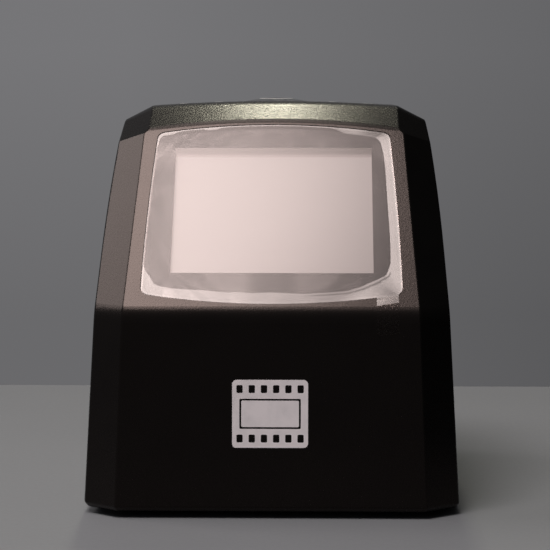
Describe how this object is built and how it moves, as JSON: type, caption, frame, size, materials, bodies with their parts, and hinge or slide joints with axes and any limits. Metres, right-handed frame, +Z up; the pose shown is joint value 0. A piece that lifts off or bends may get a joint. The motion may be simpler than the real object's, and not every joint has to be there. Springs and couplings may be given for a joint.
{
  "type": "film scanner",
  "caption": "Small desktop film scanner: a leaning display window in front, a slot for a film tray through both sides, push keys on top and sockets at the back.",
  "frame": {"origin": "centre of the footprint, on the surface that the feet stand on", "axes": "+Z up, the display and front face -Y, +X to the right as seen from the front"},
  "size_m": [0.0904, 0.0899, 0.0997],
  "materials": {
    "case": "satin, fine texture",
    "gloss_black": "gloss",
    "rubber": "matt",
    "steel": "plain",
    "window": "clear gloss",
    "mask": "printed",
    "film": "clear film",
    "foam": "foam",
    "panel": "display glass",
    "light": "diffusing white",
    "sheet_metal": "pressed",
    "inner": "moulded",
    "board": "solder mask",
    "chip": "moulded",
    "can": "drawn",
    "ribbon": "flat cable",
    "lens": "polished",
    "filter": "polished",
    "key": "gloss",
    "brass": "turned"
  },
  "bodies": {
    "case": {"front_shell": "case", "side_covers": "case", "rear_shell": "case", "base_plate": "case", "rubber_feet": "rubber", "base_screws": "steel", "case_screws": "steel", "display_window": "window", "window_mask": "mask", "window_adhesive": "foam", "protective_film": "film", "window_gasket": "foam", "display_panel": "panel", "display_backlight": "light", "display_frame": "sheet_metal", "display_bracket": "inner", "display_screws": "steel", "display_ribbon": "ribbon", "lower_gate": "inner", "upper_gate": "inner", "gate_screws": "steel", "detent_cups": "inner", "backlight_board": "board", "backlight_leds": "light", "backlight_lead": "ribbon", "light_box": "light", "diffuser": "light", "light_shroud": "inner", "lens_holder": "inner", "lens_barrel": "can", "lens_elements": "lens", "infrared_filter": "filter", "image_sensor": "chip", "sensor_board": "board", "sensor_screws": "steel", "sensor_ribbon": "ribbon", "inner_frame": "inner", "frame_screws": "steel", "main_board": "board", "main_board_screws": "steel", "board_connectors": "light", "board_chips": "chip", "capacitors": "can", "card_socket": "sheet_metal", "usb_socket": "sheet_metal", "video_jack": "chip", "key_panel": "gloss_black", "key_board": "board", "key_board_screws": "steel", "key_switches": "chip", "key_ribbon": "ribbon", "front_detent_spring": "steel", "rear_detent_spring": "steel"},
    "home": {"home_key": "key"},
    "left": {"left_key": "key"},
    "ok": {"ok_key": "key"},
    "right": {"right_key": "key"},
    "power": {"power_key": "key"},
    "front_detent": {"front_detent_pin": "brass"},
    "rear_detent": {"rear_detent_pin": "brass"}
  },
  "joints": [
    {"name": "home_press", "type": "slide", "parent": "case", "child": "home", "axis": [0, 0, -1], "range_m": [0, 0.0006], "stiffness_N_per_m": 1500, "springref_m": -0.0003},
    {"name": "left_press", "type": "slide", "parent": "case", "child": "left", "axis": [0, 0, -1], "range_m": [0, 0.0006], "stiffness_N_per_m": 1500, "springref_m": -0.0003},
    {"name": "ok_press", "type": "slide", "parent": "case", "child": "ok", "axis": [0, 0, -1], "range_m": [0, 0.0006], "stiffness_N_per_m": 1500, "springref_m": -0.0003},
    {"name": "right_press", "type": "slide", "parent": "case", "child": "right", "axis": [0, 0, -1], "range_m": [0, 0.0006], "stiffness_N_per_m": 1500, "springref_m": -0.0003},
    {"name": "power_press", "type": "slide", "parent": "case", "child": "power", "axis": [0, 0, -1], "range_m": [0, 0.0006], "stiffness_N_per_m": 1500, "springref_m": -0.0003},
    {"name": "front_detent_slide", "type": "slide", "parent": "case", "child": "front_detent", "axis": [0, 0, -1], "range_m": [0, 0.001], "stiffness_N_per_m": 600, "springref_m": -0.001, "deforming": ["front_detent_spring"]},
    {"name": "rear_detent_slide", "type": "slide", "parent": "case", "child": "rear_detent", "axis": [0, 0, -1], "range_m": [0, 0.001], "stiffness_N_per_m": 600, "springref_m": -0.001, "deforming": ["rear_detent_spring"]}
  ]
}
